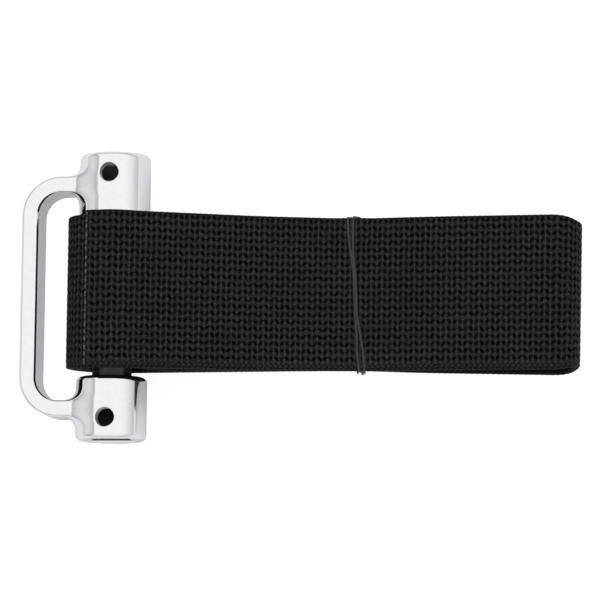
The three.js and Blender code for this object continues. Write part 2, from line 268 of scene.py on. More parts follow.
class MiddleLine:
    """The strip's middle line, sampled finely, with its drift along Y."""

    def __init__(self, corners):
        points = [np.array(corners[0][:2])]
        beside = [(0, *corners[0][3:])]
        for before, here, after in zip(corners, corners[1:], corners[2:]):
            corner, radius = np.array(here[:2]), here[2]
            back = np.array(before[:2]) - corner
            ahead = np.array(after[:2]) - corner
            back /= np.linalg.norm(back)
            ahead /= np.linalg.norm(ahead)
            bend = math.pi - math.acos(max(-1.0, min(1.0, float(back @ ahead))))
            if bend < 1e-4:
                continue
            start = corner + back * radius * math.tan(bend / 2)
            inward = back + ahead
            inward /= np.linalg.norm(inward)
            centre = corner + inward * radius / math.cos(bend / 2)
            turn = math.copysign(1.0, back[1] * ahead[0] - back[0] * ahead[1])
            steps = max(2, math.ceil(bend / math.radians(1.5)))
            for step in range(steps + 1):
                angle = turn * bend * step / steps
                c, s = math.cos(angle), math.sin(angle)
                arm = start - centre
                points.append(centre + np.array([c * arm[0] - s * arm[1], s * arm[0] + c * arm[1]]))
                if step == steps // 2:
                    beside.append((len(points) - 1, *here[3:]))
        points.append(np.array(corners[-1][:2]))
        beside.append((len(points) - 1, *corners[-1][3:]))
        line = np.array(points)
        lengths = np.concatenate([[0.0], np.cumsum(np.linalg.norm(np.diff(line, axis=0), axis=1))])
        self.length = float(lengths[-1])
        self.s = np.linspace(0.0, self.length, int(self.length / 0.1))
        self.x = np.interp(self.s, lengths, line[:, 0])
        self.z = np.interp(self.s, lengths, line[:, 1])
        known_s = [lengths[index] for index, _, _ in beside]
        self.drift = self.softened(known_s, [drift for _, drift, _ in beside])
        self.half = self.softened(known_s, [half for _, _, half in beside])
        heading = np.unwrap(np.arctan2(np.gradient(self.z), np.gradient(self.x)))
        soft = np.hanning(21)
        self.heading = np.convolve(np.pad(heading, 10, mode="edge"), soft / soft.sum(), mode="valid")
        # the strip draws in where it bends sharply upright, most of all at the far end
        upright = np.abs(np.sin(self.heading)) ** 3.0
        self.half = self.half - upright * (0.30 + 1.35 * smooth_step(self.x, 60.0, 120.0))

    def softened(self, known_s, values):
        window = np.hanning(121)
        padded = np.pad(np.interp(self.s, known_s, values), 60, mode="edge")
        return np.convolve(padded, window / window.sum(), mode="valid")

    def at(self, s):
        """Point, outward normal, drift and half width at lengths s."""
        heading = np.interp(s, self.s, self.heading)
        columns = [np.interp(s, self.s, values) for values in (self.x, self.z, self.drift, self.half)]
        return columns[0], columns[1], np.sin(heading), -np.cos(heading), columns[2], columns[3]

    def find_cell(self, x, z):
        """Length at which the line passes closest to a point, to the nearest whole cell of the weave."""
        gap = np.hypot(self.x - x, self.z - z)
        nearest = float(self.s[int(np.argmin(gap))])
        return round(nearest / CELL_LENGTH) * CELL_LENGTH


# ---------- the webbing ----------

def pit_depth(u, v):
    """0 on the ribs, about 1 at the bottom of a pit. u runs along the strip, v across it, in mm."""
    depth = np.zeros(np.broadcast(u, v).shape)
    for side in (-1.0, 1.0):
        shifted = u / CELL_LENGTH - side * PIT_OFFSET
        column = np.floor(shifted + 0.5)
        row = np.floor(v / CELL_WIDTH + 0.5)
        # each pit is shifted, turned and deepened a little
        noise = JITTER[(2 * column + (side > 0.0)).astype(int) % 64, row.astype(int) % 32]
        du = (shifted - column) * CELL_LENGTH + 0.11 * noise[..., 0]
        dv = (v / CELL_WIDTH - row) * CELL_WIDTH + 0.20 * noise[..., 1]
        angle = side * PIT_SLANT + 0.30 * noise[..., 3]
        along = dv * np.cos(angle) + du * np.sin(angle)
        across = du * np.cos(angle) - dv * np.sin(angle)
        pit = np.exp(-((np.abs(along) / PIT_HALF_LENGTH) ** 2.6) - (across / PIT_HALF_WIDTH) ** 2)
        depth += pit * (1.0 + 0.40 * noise[..., 2])
    return depth


def bridge_height(u, v):
    """Height, 0 to 1, of the slanted yarns that run from rib to rib between the pits."""
    column = np.floor(2.0 * u / CELL_LENGTH)
    side = 1.0 - 2.0 * (column % 2.0)
    from_middle = u - (column + 0.5) * CELL_LENGTH / 2.0
    turns = (v - BRIDGE_SLANT * side * from_middle) / CELL_WIDTH + 0.5
    from_bridge = np.abs(turns - np.round(turns)) * CELL_WIDTH * math.cos(math.atan(BRIDGE_SLANT))
    return np.sqrt(np.maximum(1.0 - (from_bridge / BRIDGE_RADIUS) ** 2, 0.0))


def weave(u, v):
    """The woven face at a place on the strip: how far it lies below its rib tops, in mm, and its tone,
    which holds painted shade in the pits and painted light on the rib tops and raised yarns.
    """
    margin = np.where(v < 0.0, NEAR_SELVEDGE, FAR_SELVEDGE)
    inner = 1.0 - smooth_step(np.abs(v), WEB_HALF_WIDTH - margin, WEB_HALF_WIDTH - margin + 0.7)
    pits = pit_depth(u, v) * inner
    # the ribs wander a little, and swell at each knot between two pits
    sway = 0.10 * np.sin(1.9 * v + 0.8 * np.sin(0.7 * u)) + 0.07 * np.sin(0.53 * v + 0.31 * u)
    from_rib = np.abs(((u + sway) / CELL_LENGTH * 2.0 + 0.5) % 1.0 - 0.5) * CELL_LENGTH / 2.0
    rib_tops = np.exp(-(from_rib / 0.29) ** 2)
    knots = 0.5 - 0.5 * np.cos(2.0 * math.pi * v / CELL_WIDTH + 0.9 * np.sin(2.1 * u + 0.4 * v))
    # braided selvedge: short yarns in rows, each row set off from the last
    rows = np.floor(v / EDGE_YARN)
    edge_yarns = 0.5 + 0.5 * np.cos(4.0 * math.pi * u / CELL_LENGTH + 1.15 * math.pi * rows)
    edge_yarns = edge_yarns * np.abs(np.sin(math.pi * v / EDGE_YARN)) ** 0.7
    round_ribs = np.sqrt(np.maximum(1.0 - (from_rib / RIB_RADIUS) ** 2, 0.0))
    bridges = bridge_height(u, v)
    height = np.maximum(round_ribs * (0.85 + 0.15 * knots), 0.80 * bridges)
    drop = inner * (WEAVE_DEPTH * (1.0 - height) + 0.12 * pits)
    drop = drop + (1.0 - inner) * (0.08 + 0.14 * (1.0 - edge_yarns))
    # painted shade and light: the pits are darkened and the rib tops and slanted yarns lightened, over the
    # yarn's own tone
    yarn_tone_and_shade = inner * (0.245 + 0.17 * bridges + rib_tops * (0.27 + 0.12 * knots) - 0.47 * pits)
    # painted light on the raised selvedge yarns, painted shade in the hollows between them
    yarn_tone_and_shade = yarn_tone_and_shade + (1.0 - inner) * (0.24 + 0.50 * edge_yarns)
    return drop, np.clip(yarn_tone_and_shade, 0.0, 1.0)


def tie_pinch(x):
    """1 under the tie, fading to 0 some way along the roll."""
    return np.exp(-((x - TIE_X) / 16.0) ** 2)


def shape_roll(points):
    """Bends the roll's layers a little: its long edges draw together under the tie."""
    x, y, z = points[..., 0], points[..., 1], points[..., 2]
    edge = np.clip(np.abs(y - 1.2) / WEB_HALF_WIDTH, 0.0, 1.1) ** 5
    middle_z = -5.6
    z = middle_z + (z - middle_z) * (1.0 - 0.14 * tie_pinch(x) * edge)
    # a slow wave along the upper layers, then a far end that leans a little
    z = z + 0.12 * np.sin(0.085 * x + 0.6) * smooth_step(x, 20.0, 60.0) * smooth_step(z, -13.0, -8.0)
    far = smooth_step(x, 120.0, 150.0)
    x = x + far * (0.008 * y - 0.2)
    return np.stack([x, y, z], axis=-1)


def strip_section(fine):
    """Samples round the strip's section: v as a share of the flat width, and where each lies."""
    corner = 0.95
    flat = WEB_HALF_WIDTH - corner
    count = 150 if fine else 14
    face = np.linspace(-flat, flat, count)
    turn = np.radians([68.0, 45.0, 22.0])
    level = WEB_HALF_THICKNESS - corner
    samples = [(v, 0.0, WEB_HALF_THICKNESS, 1.0) for v in face]
    samples += [(flat, corner * math.cos(a), level + corner * math.sin(a), 0.0) for a in turn]
    samples += [(flat, corner, 0.0, 0.0)]
    samples += [(flat, corner * math.cos(a), -level - corner * math.sin(a), 0.0) for a in turn[::-1]]
    samples += [(v, 0.0, -WEB_HALF_THICKNESS, -1.0) for v in np.linspace(flat, -flat, 10)]
    samples += [(-flat, -corner * math.cos(a), -level - corner * math.sin(a), 0.0) for a in turn]
    samples += [(-flat, -corner, 0.0, 0.0)]
    samples += [(-flat, -corner * math.cos(a), level + corner * math.sin(a), 0.0) for a in turn[::-1]]
    return np.array(samples)


def strip_piece(name, line, start, end, fine, material):
    """One stretch of the webbing as a closed solid, woven on its outer face.

    `cut` is 1 along the strip's free end, where the heat has sealed it into a row of beads.
    """
    step = CELL_LENGTH / 11.0 if fine else 0.8
    s = np.linspace(start, end, max(2, round(abs(end - start) / step) + 1))
    x, z, normal_x, normal_z, drift, half = line.at(s)
    section = strip_section(fine)
    v = section[:, 0] + section[:, 1]
    u = np.broadcast_to(s[:, None], (len(s), len(v)))
    drop, yarn_tone_and_shade = weave(u, v[None, :])
    outer, inner = section[:, 3] > 0.5, section[:, 3] < -0.5
    if not fine:
        drop, yarn_tone_and_shade = drop * 0.0 + 0.15, yarn_tone_and_shade * 0.0 + 0.3
    to_free = np.broadcast_to(line.length - s[:, None], u.shape)
    beads = 0.58 + 0.42 * np.sin(2.7 * v + 0.6 * np.sin(0.9 * v))
    cut = np.exp(-((to_free - 0.15) / 0.22) ** 2) * beads
    offset = section[:, 2] - np.where(outer, drop * (1.0 - cut), 0.0) + np.where(inner, 0.12, 0.0)
    offset = offset + np.where(outer, 0.14 * cut, 0.0)
    edge_loops = np.where(section[:, 3] == 0.0, 0.045 * np.cos(4.0 * math.pi * u / CELL_LENGTH), 0.0)
    across = v * (half / WEB_HALF_WIDTH)[:, None] + np.sign(v) * edge_loops
    points = np.stack([
        x[:, None] + normal_x[:, None] * offset,
        across + drift[:, None],
        z[:, None] + normal_z[:, None] * offset,
    ], axis=-1)
    points = shape_roll(points)
    rows, columns = u.shape
    faces = grid_faces(rows, columns, True)
    faces.append(tuple(range(columns))[::-1])
    faces.append(tuple(range((rows - 1) * columns, rows * columns)))
    piece = add_mesh(name, points.reshape(-1, 3), faces, ROLL_BODY, material)
    # painted light and shade on the strip's edges: lighter where the edge loops stand out, darker between
    # them
    plain = np.where(section[:, 3] == 0.0, 0.32 + 4.0 * edge_loops, 0.3)
    float_attribute(piece, "yarn_tone_and_shade", np.where(outer, yarn_tone_and_shade, plain))
    float_attribute(piece, "along", u)
    float_attribute(piece, "across", np.broadcast_to(v, u.shape))
    float_attribute(piece, "cut", np.where(outer, cut, 0.0))
    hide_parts("strap")


def build_webbing(material):
    """The strip in four pieces, each starting and ending on a whole cell of the weave."""
    line = MiddleLine(roll_corners())
    outer_ring = EYE_RADIUS + 2 * LAYER_PITCH
    far_turn = line.find_cell(ROLL_END_X - WEB_HALF_THICKNESS, -4.9)
    under_pin = line.find_cell(0.0, -outer_ring)
    wrap_start = line.find_cell(-2.0, outer_ring)
    strip_piece("webbing_inner_layers", line, 0.0, wrap_start, False, material)
    strip_piece("webbing_wrap", line, wrap_start, under_pin, True, material)
    strip_piece("webbing_underside", line, under_pin, far_turn, True, material)
    strip_piece("webbing_top", line, far_turn, line.length, True, material)


# ---------- frame casting, as a distance field ----------

def smooth_union(a, b, blend):
    h = np.maximum(blend - np.abs(a - b), 0.0) / blend
    return np.minimum(a, b) - h * h * blend * 0.25


def smooth_cut(a, b, blend):
    """Solid a without solid b, with the new edge rounded."""
    h = np.maximum(blend - np.abs(a + b), 0.0) / blend
    return np.maximum(a, -b) + h * h * blend * 0.25


def rounded_pair(a, b, radius):
    """Where two distances meet at a rounded outer edge."""
    a, b = a + radius, b + radius
    return np.minimum(np.maximum(a, b), 0.0) + np.hypot(np.maximum(a, 0.0), np.maximum(b, 0.0)) - radius


def rounded_square(x, z, half, corner):
    """Distance to a square with rounded corners, round the pin axis."""
    return rounded_pair(np.abs(x) - half, np.abs(z) - half, corner)


def rounded_window(x, y, left, half_height, corner):
    """Distance to a rounded rectangle that starts at x = left and ends well to the right of the casting."""
    right = 60.0
    middle = (left + right) / 2
    return rounded_pair(np.abs(x - middle) - (right - left) / 2, np.abs(y) - half_height, corner)


def frame_hull(p):
    """The casting before its holes are cut."""
    x, y, z = p[..., 0], np.abs(p[..., 1]), p[..., 2]
    boss_middle, boss_half = (BOSS_INNER_Y + BOSS_OUTER_Y) / 2, (BOSS_OUTER_Y - BOSS_INNER_Y) / 2
    boss = rounded_pair(np.hypot(x, z) - BOSS_RADIUS, np.abs(y - boss_middle) - boss_half, BOSS_FILLET)
    outer = rounded_window(x, y, -LOOP_REACH, LOOP_ARM_Y + LOOP_ARM_WIDTH / 2, LOOP_OUTER_CORNER)
    inner = rounded_window(x, y, -LOOP_REACH + LOOP_BAR_WIDTH, LOOP_ARM_Y - LOOP_ARM_WIDTH / 2,
                           LOOP_OUTER_CORNER - LOOP_BAR_WIDTH)
    band = np.maximum(np.maximum(outer, -inner), x + 4.0)
    loop = rounded_pair(band, np.abs(z) - LOOP_HALF_DEPTH, LOOP_EDGE)
    return smooth_union(boss, loop, LOOP_TO_BOSS_FILLET)


def frame_distance(p):
    """The whole casting: the hull less its sockets, bores and detent holes."""
    x, y, z = p[..., 0], np.abs(p[..., 1]), p[..., 2]
    solid = frame_hull(p)
    mouth = np.maximum(DRIVE_MOUTH - (BOSS_OUTER_Y - y), 0.0)
    socket = np.maximum(rounded_square(x, z, DRIVE_HALF + mouth, DRIVE_CORNER), DRIVE_FLOOR_Y - y)
    detent = np.maximum(np.hypot(x, y - DETENT_Y) - DETENT_RADIUS, -z)
    bore = np.maximum(np.hypot(x, z) - BORE_RADIUS, y - BOSS_OUTER_Y + 3.0)
    solid = smooth_cut(solid, bore, 0.5)
    solid = smooth_cut(solid, socket, 0.6)
    return smooth_cut(solid, detent, 0.8)


def deep_socket_shade(p):
    """1 on the walls of the sockets and bores, well in from the mouth, fading to 0 elsewhere: where the
    chrome is painted near-black as shade.
    """
    x, y, z = p[:, 0], np.abs(p[:, 1]), p[:, 2]
    on_walls = 1.0 - smooth_step(rounded_square(x, z, DRIVE_HALF, DRIVE_CORNER), 0.25, 0.75)
    past_mouth = smooth_step(BOSS_OUTER_Y - y, 0.8, 2.2)
    past_bore_end = smooth_step(y, BOSS_INNER_Y, BOSS_INNER_Y + 1.5)
    return on_walls * past_mouth * past_bore_end


def bored(p):
    """1 on the walls of the detent holes, below their rims, fading to 0 elsewhere."""
    x, y, z = p[:, 0], np.abs(p[:, 1]) - DETENT_Y, p[:, 2]
    on_walls = 1.0 - smooth_step(np.hypot(x, y), DETENT_RADIUS + 0.1, DETENT_RADIUS + 0.5)
    return on_walls * smooth_step(BOSS_RADIUS - np.hypot(x, z), 0.4, 1.0) * (z > 0.0)


def gradient(distance, points, reach=0.02):
    """Slope of a distance field at points, from samples a little to each side."""
    out = np.zeros_like(points)
    for axis in range(3):
        shift = np.zeros(3)
        shift[axis] = reach
        out[:, axis] = distance(points + shift) - distance(points - shift)
    return out / (2.0 * reach)


def surface_net(distance, low, high, step):
    """Quads on the zero surface of a distance field, with each point moved onto it, and its normals."""
    axes = [np.arange(a, b + step, step) for a, b in zip(low, high)]
    shape = tuple(len(a) for a in axes)
    field = np.empty(shape)
    for i, x in enumerate(axes[0]):
        plane = np.stack(np.broadcast_arrays(x, axes[1][:, None], axes[2][None, :]), axis=-1)
        field[i] = distance(plane)
    inside = field < 0.0
    corners = np.zeros(tuple(n - 1 for n in shape), int)
    for a in (0, 1):
        for b in (0, 1):
            for c in (0, 1):
                corners += inside[a:shape[0] - 1 + a, b:shape[1] - 1 + b, c:shape[2] - 1 + c]
    active = (corners > 0) & (corners < 8)
    index = np.full(active.shape, -1)
    index[active] = np.arange(active.sum())
    cells = np.argwhere(active)
    points = np.stack([axes[k][0] + (cells[:, k] + 0.5) * step for k in range(3)], axis=1)
    faces = []
    for axis in range(3):
        others = [k for k in range(3) if k != axis]
        ahead = [slice(None)] * 3
        behind = [slice(None)] * 3
        ahead[axis], behind[axis] = slice(1, None), slice(None, -1)
        crossing = inside[tuple(behind)] != inside[tuple(ahead)]
        edges = np.argwhere(crossing)
        keep = np.all(edges[:, others] > 0, axis=1)
        keep &= np.all(edges[:, others] < np.array([shape[k] - 1 for k in others]), axis=1)
        edges = edges[keep]
        starts_inside = inside[tuple(edges.T)]
        ring = []
        for da, db in ((0, 0), (-1, 0), (-1, -1), (0, -1)):
            cell = edges.copy()
            cell[:, others[0]] += da
            cell[:, others[1]] += db
            ring.append(index[tuple(cell.T)])
        quads = np.stack(ring, axis=1)
        flip = starts_inside if axis != 1 else ~starts_inside
        quads[flip] = quads[flip][:, ::-1]
        faces.append(quads)
    for _ in range(4):
        slope = gradient(distance, points)
        size = np.maximum((slope ** 2).sum(axis=1, keepdims=True), 0.2)
        points = points - distance(points)[:, None] * slope / size
    slope = gradient(distance, points)
    normals = slope / np.maximum(np.linalg.norm(slope, axis=1, keepdims=True), 1e-9)
    return points, np.concatenate(faces), normals


def build_frame(material):
    """The casting, meshed from its distance field, with its faces turned outwards."""
    margin = 1.0
    low = (-LOOP_REACH - margin, -BOSS_OUTER_Y - margin, -BOSS_RADIUS - margin)
    high = (BOSS_RADIUS + margin, BOSS_OUTER_Y + margin, BOSS_RADIUS + margin)
    step = 0.39
    points, quads, normals = surface_net(frame_distance, low, high, step)
    first = points[quads[:, 0]]
    facing = np.cross(points[quads[:, 1]] - first, points[quads[:, 2]] - first)
    if (facing * normals[quads[:, 0]]).sum() < 0.0:
        quads = quads[:, ::-1]
    piece = add_mesh("frame_casting", points, quads.tolist(), FRAME_BODY, material, normals)
    float_attribute(piece, "deep", deep_socket_shade(points))
    float_attribute(piece, "bored", bored(points))
    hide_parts("frame")


# ---------- pin ----------

def build_pin(material):
    """Round pin with chamfered ends and a turning centre in each."""
    end = PIN_HALF_LENGTH
    profile = [(0.0, end - 1.3), (0.9, end - 0.5), (1.5, end - 0.12), (1.8, end)]
    profile += [(PIN_RADIUS - PIN_CHAMFER - 0.15, end), (PIN_RADIUS - PIN_CHAMFER, end - 0.05)]
    profile += [(PIN_RADIUS - 0.08, end - PIN_CHAMFER + 0.08), (PIN_RADIUS, end - PIN_CHAMFER - 0.1)]
    profile += [(PIN_RADIUS, y) for y in np.linspace(end - 2.0, 0.5, 24)]
    profile = profile + [(r, -y) for r, y in profile[::-1]]
    sides = 96
    angles = np.linspace(0.0, 2.0 * math.pi, sides, endpoint=False)
    points = [(0.0, profile[0][1], 0.0)]
    for radius, y in profile[1:-1]:
        points += [(radius * math.cos(a), y, radius * math.sin(a)) for a in angles]
    points.append((0.0, profile[-1][1], 0.0))
    rings = len(profile) - 2
    faces = [tuple(1 + k for k in quad) for quad in grid_faces(rings, sides, True)]
    last = len(points) - 1
    for k in range(sides):
        after = (k + 1) % sides
        faces.append((0, 1 + after, 1 + k))
        base = 1 + (rings - 1) * sides
        faces.append((last, base + k, base + after))
    piece = add_mesh("pin_round_bar", points, faces, FRAME_BODY, material)
    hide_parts("strap_pin")


# ---------- threads and the tie ----------

def tube(path, radius, sides, closed):
    """Points and faces of a round tube along a path. An open tube gets rounded ends."""
    path = np.asarray(path, float)
    if closed:
        tangent = np.roll(path, -1, axis=0) - np.roll(path, 1, axis=0)
    else:
        tangent = np.gradient(path, axis=0)
    tangent /= np.linalg.norm(tangent, axis=1, keepdims=True)
    reference = np.array([1.0, 0.0, 0.0])
    if abs(tangent[0] @ reference) > 0.9:
        reference = np.array([0.0, 0.0, 1.0])
    side = np.cross(tangent, reference)
    side /= np.linalg.norm(side, axis=1, keepdims=True)
    up = np.cross(side, tangent)
    widths = np.full(len(path), radius)
    if not closed:
        widths[0] = widths[-1] = radius * 0.35
        widths[1] = widths[-2] = radius * 0.85
    angles = np.linspace(0.0, 2.0 * math.pi, sides, endpoint=False)
    c, s = np.cos(angles)[None, :, None], np.sin(angles)[None, :, None]
    ring = c * side[:, None, :] + s * up[:, None, :]
    points = path[:, None, :] + widths[:, None, None] * ring
    rows = len(path)
    faces = grid_faces(rows, sides, True)
    if closed:
        for j in range(sides):
            k = (j + 1) % sides
            faces.append(((rows - 1) * sides + j, (rows - 1) * sides + k, k, j))
    else:
        faces.append(tuple(range(sides))[::-1])
        faces.append(tuple(range((rows - 1) * sides, rows * sides)))
    return points.reshape(-1, 3), [face[::-1] for face in faces]


def joined(parts):
    """Several point and face lists as one."""
    points, faces, base = [], [], 0
    for part_points, part_faces in parts:
        points.append(part_points)
        faces += [tuple(base + k for k in face) for face in part_faces]
        base += len(part_points)
    return np.concatenate(points), faces


def build_stitches(material):
    """Four rows of lock stitch through the tail and the first run, right of the pin."""
    top = TAIL_Z + WEB_HALF_THICKNESS
    bottom = TAIL_Z - LAYER_PITCH - WEB_HALF_THICKNESS
    half_count = STITCH_COUNT / 2
    for row in range(STITCH_ROWS):
        x = FIRST_STITCH_X + STITCH_ROW_PITCH * row
        t = np.linspace(-half_count, half_count, STITCH_COUNT * 16 + 1)
        dip = np.abs(np.cos(math.pi * t)) ** 6
        over = np.stack([x + 0 * t, t * STITCH_LENGTH, top + 0.32 - 0.55 * dip], axis=1)
        under = np.stack([x + 0 * t, t * STITCH_LENGTH, bottom - 0.32 + 0.55 * dip], axis=1)
        parts = [tube(over, THREAD_RADIUS, 8, False), tube(under, THREAD_RADIUS, 8, False)]
        for k in range(STITCH_COUNT + 1):
            y = (k - half_count) * STITCH_LENGTH
            strand = np.array([(x, y, z) for z in np.linspace(bottom - 0.1, top + 0.1, 9)])
            parts.append(tube(strand, THREAD_RADIUS - 0.02, 8, False))
        points, faces = joined(parts)
        piece = add_mesh(f"stitching_row_{row + 1}", points, faces, ROLL_BODY, material)
        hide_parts(f"eye_stitch_row_{row + 1}")


def tie_loop(top_x, bottom_x, lift):
    """A closed path round the roll: the X offsets are given over the top and under it, from +Y to -Y.

    `section` holds the Y and Z of the roll's four edges under the tie, and `crown` how far its top and
    bottom stand out between them.
    """
    section = [(24.75, 1.15), (26.5, -12.75), (-22.3, -12.75), (-23.7, 1.15)]
    crown = [0.0, 1.25, 0.0, 1.25]
    points = []
    for index in (3, 0, 1, 2):
        start, end = np.array(section[index]), np.array(section[(index + 1) % 4])
        t = np.linspace(0.0, 1.0, 90 if index in (1, 3) else 30, endpoint=False)
        side = start + (end - start) * t[:, None]
        bulge = crown[index] * (1.0 - np.abs(2.0 * t - 1.0) ** 4)
        side[:, 1] += bulge * (1.0 if index == 3 else -1.0)
        share = 1.0 - t if index == 3 else t
        offsets = {0: (top_x[0], bottom_x[0]), 1: bottom_x, 2: (bottom_x[-1], top_x[-1]), 3: top_x}[index]
        x = np.interp(share, np.linspace(0.0, 1.0, len(offsets)), offsets)
        points.append(np.stack([TIE_X + x, side[:, 0], side[:, 1]], axis=1))
    path = np.concatenate(points)
    middle = path[:, 1:].mean(axis=0)
    away = path[:, 1:] - middle
    path[:, 1:] += lift * away / np.linalg.norm(away, axis=1, keepdims=True)
    soft = np.hanning(7)
    padded = np.concatenate([path[-3:], path, path[:3]])
    return np.stack([np.convolve(padded[:, k], soft / soft.sum(), mode="valid") for k in range(3)], axis=1)


def build_tie(material):
    """A thin cord twice round the roll, its two ends sticking out below the near edge."""
    first = tie_loop([-2.1, -1.6, -0.65, 0.30, 0.50, 0.75, 1.45, 1.5, 2.1], [-2.1, 0.9], 0.24)
    second = tie_loop([-0.3, -0.15, 0.0, 0.75, 1.20, 1.35, 2.5, 3.5, 3.9], [-0.3, 1.7], 0.46)
    parts = [tube(first, TIE_RADIUS, 10, True), tube(second, TIE_RADIUS, 10, True)]
    # loose ends: where each leaves the near edge, how far it leans and how far it reaches
    for x, lean, reach in ((1.7, -0.5, 1.0), (2.6, 0.3, 1.4), (3.6, -0.1, 1.0)):
        t = np.linspace(0.0, 1.0, 16)
        sag = 1.0 - 3.0 * t + 0.3 * np.sin(5.0 * t)
        end = np.stack([TIE_X + x + lean * t, -23.3 - reach * t, sag], axis=1)
        parts.append(tube(end, TIE_RADIUS * 0.9, 10, False))
    points, faces = joined(parts)
    piece = add_mesh("tie_cord", points, faces, ROLL_BODY, material)
    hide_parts("roll_tie")


# ---------- materials ----------

class Nodes:
    """A short way to build a node material."""

    def __init__(self, name):
        self.material = bpy.data.materials.new(name)
        self.material.use_nodes = True
        self.tree = self.material.node_tree
        self.shader = self.tree.nodes["Principled BSDF"]

    @classmethod
    def over(cls, tree, shader):
        nodes = cls.__new__(cls)
        nodes.tree, nodes.shader = tree, shader
        return nodes

    def add(self, kind, inputs=None, **settings):
        node = self.tree.nodes.new(kind)
        for key, value in settings.items():
            setattr(node, key, value)
        for key, value in (inputs or {}).items():
            self.feed(node, key, value)
        return node

    def feed(self, node, key, value):
        if isinstance(value, bpy.types.NodeSocket):
            self.tree.links.new(value, node.inputs[key])
        else:
            node.inputs[key].default_value = value

    def math(self, operation, a, b=0.0, clamp=False):
        return self.add("ShaderNodeMath", {0: a, 1: b}, operation=operation, use_clamp=clamp).outputs[0]

    def blend(self, value, scale, base):
        """value * scale + base"""
        return self.math("ADD", self.math("MULTIPLY", value, scale), base)

    def ramp(self, factor, stops):
        node = self.add("ShaderNodeValToRGB", {"Fac": factor})
        elements = node.color_ramp.elements
        for position, _ in stops[2:]:
            elements.new(position)
        for element, (position, colour) in zip(elements, stops):
            element.position = position
            element.color = (*colour, 1.0)
        return node.outputs["Color"]

    def noise(self, vector, scale, detail=3.0, roughness=0.55):
        inputs = {"Vector": vector, "Scale": scale, "Detail": detail, "Roughness": roughness}
        return self.add("ShaderNodeTexNoise", inputs).outputs["Fac"]

    def stretch(self, vector, scale):
        return self.add("ShaderNodeMapping", {"Vector": vector, "Scale": scale}).outputs["Vector"]

    def bump(self, height, strength, distance):
        inputs = {"Height": height, "Strength": strength, "Distance": distance}
        self.feed(self.shader, "Normal", self.add("ShaderNodeBump", inputs).outputs["Normal"])


def grey(level):
    return (level, level, level)


def position_of(nodes):
    return nodes.add("ShaderNodeTexCoord").outputs["Object"]


def attribute_of(nodes, name):
    return nodes.add("ShaderNodeAttribute", attribute_name=name).outputs["Fac"]


def webbing_material():
    """Black nylon: painted highlight on the rib tops, painted shade making the pits near-black, fine fibres
    along the yarns, a sealed free end.
    """
    nodes = Nodes("webbing")
    yarn_tone_and_shade = attribute_of(nodes, "yarn_tone_and_shade")
    cut = attribute_of(nodes, "cut")
    along = attribute_of(nodes, "along")
    across = attribute_of(nodes, "across")
    cloth = nodes.add("ShaderNodeCombineXYZ", {"X": along, "Y": across}).outputs["Vector"]
    fibres = nodes.noise(nodes.stretch(cloth, (2.0, 1.0, 1.0)), 2.1, 3.0, 0.65)
    patches = nodes.noise(nodes.stretch(cloth, (0.05, 0.12, 1.0)), 1.0, 2.0)
    slant = nodes.math("ADD", nodes.math("MULTIPLY", across, 9.0), nodes.math("MULTIPLY", along, 5.4))
    twist = nodes.math("SINE", slant)
    grain = nodes.math("ADD", nodes.blend(fibres, 5.2, -1.6), nodes.math("MULTIPLY", twist, 0.25))
    uneven = nodes.math("MULTIPLY", grain, nodes.blend(patches, 0.4, 0.8))
    # level carries the weave's painted shade and light; the ramp below turns it into colour, and it also
    # scales the shine
    level = nodes.math("MULTIPLY", yarn_tone_and_shade, uneven)
    yarn = nodes.ramp(level, [
        (0.0, grey(0.0018)),
        (0.30, grey(0.0062)),
        (0.70, (0.0207, 0.0205, 0.0206)),
        (1.0, (0.0415, 0.0412, 0.0413)),
    ])
    sealed = nodes.add("ShaderNodeMix", data_type="RGBA")
    melted = nodes.math("MULTIPLY", cut, nodes.blend(fibres, 5.0, -2.1), clamp=True)
    link_rgba(nodes, sealed, melted, yarn, (0.34, 0.325, 0.31, 1.0))
    nodes.feed(nodes.shader, "Base Color", sealed.outputs[2])
    nodes.feed(nodes.shader, "Roughness", nodes.blend(fibres, 0.2, 0.45))
    nodes.feed(nodes.shader, "Specular IOR Level", nodes.math("MULTIPLY", level, 0.20))
    nodes.bump(nodes.math("ADD", fibres, nodes.math("MULTIPLY", twist, 0.3)), 0.6, 0.00014)
    return nodes.material


def link_rgba(nodes, node, factor, a, b):
    """Colour mixes keep their colour sockets at 6 and 7."""
    nodes.feed(node, 0, factor)
    nodes.feed(node, 6, a)
    nodes.feed(node, 7, b)


def chrome_material():
    """Polished plate with a slow ripple, dull in the detent holes, and painted near-black as shade deep in
    the sockets, where its shine is taken off too.
    """
    nodes = Nodes("chrome_plate")
    place = position_of(nodes)
    ripple = nodes.noise(place, 90.0, 1.0)
    haze = nodes.noise(place, 420.0, 4.0)
    deep = attribute_of(nodes, "deep")
    drilled = attribute_of(nodes, "bored")
    tint = nodes.ramp(haze, [(0.3, (0.88, 0.885, 0.90)), (0.7, (0.915, 0.92, 0.93))])
    dulled = nodes.add("ShaderNodeMix", data_type="RGBA")
    link_rgba(nodes, dulled, drilled, tint, (0.46, 0.435, 0.41, 1.0))
    surface = nodes.add("ShaderNodeMix", data_type="RGBA")
    # painted shade: the deep socket walls are coloured near-black
    link_rgba(nodes, surface, deep, dulled.outputs[2], (0.012, 0.012, 0.013, 1.0))
    nodes.feed(nodes.shader, "Base Color", surface.outputs[2])
    # dull in the detent holes, and without shine where the sockets are painted as shade
    dull_and_shaded = nodes.math("MAXIMUM", deep, nodes.math("MULTIPLY", drilled, 0.85))
    nodes.feed(nodes.shader, "Metallic", nodes.blend(dull_and_shaded, -0.8, 1.0))
    plate_roughness = nodes.blend(haze, 0.05, 0.035)
    dull_and_shaded_roughness = nodes.math("MULTIPLY", dull_and_shaded, 0.7)
    nodes.feed(nodes.shader, "Roughness", nodes.math("MAXIMUM", plate_roughness, dull_and_shaded_roughness))
    nodes.bump(ripple, 0.12, 0.0006)
    return nodes.material


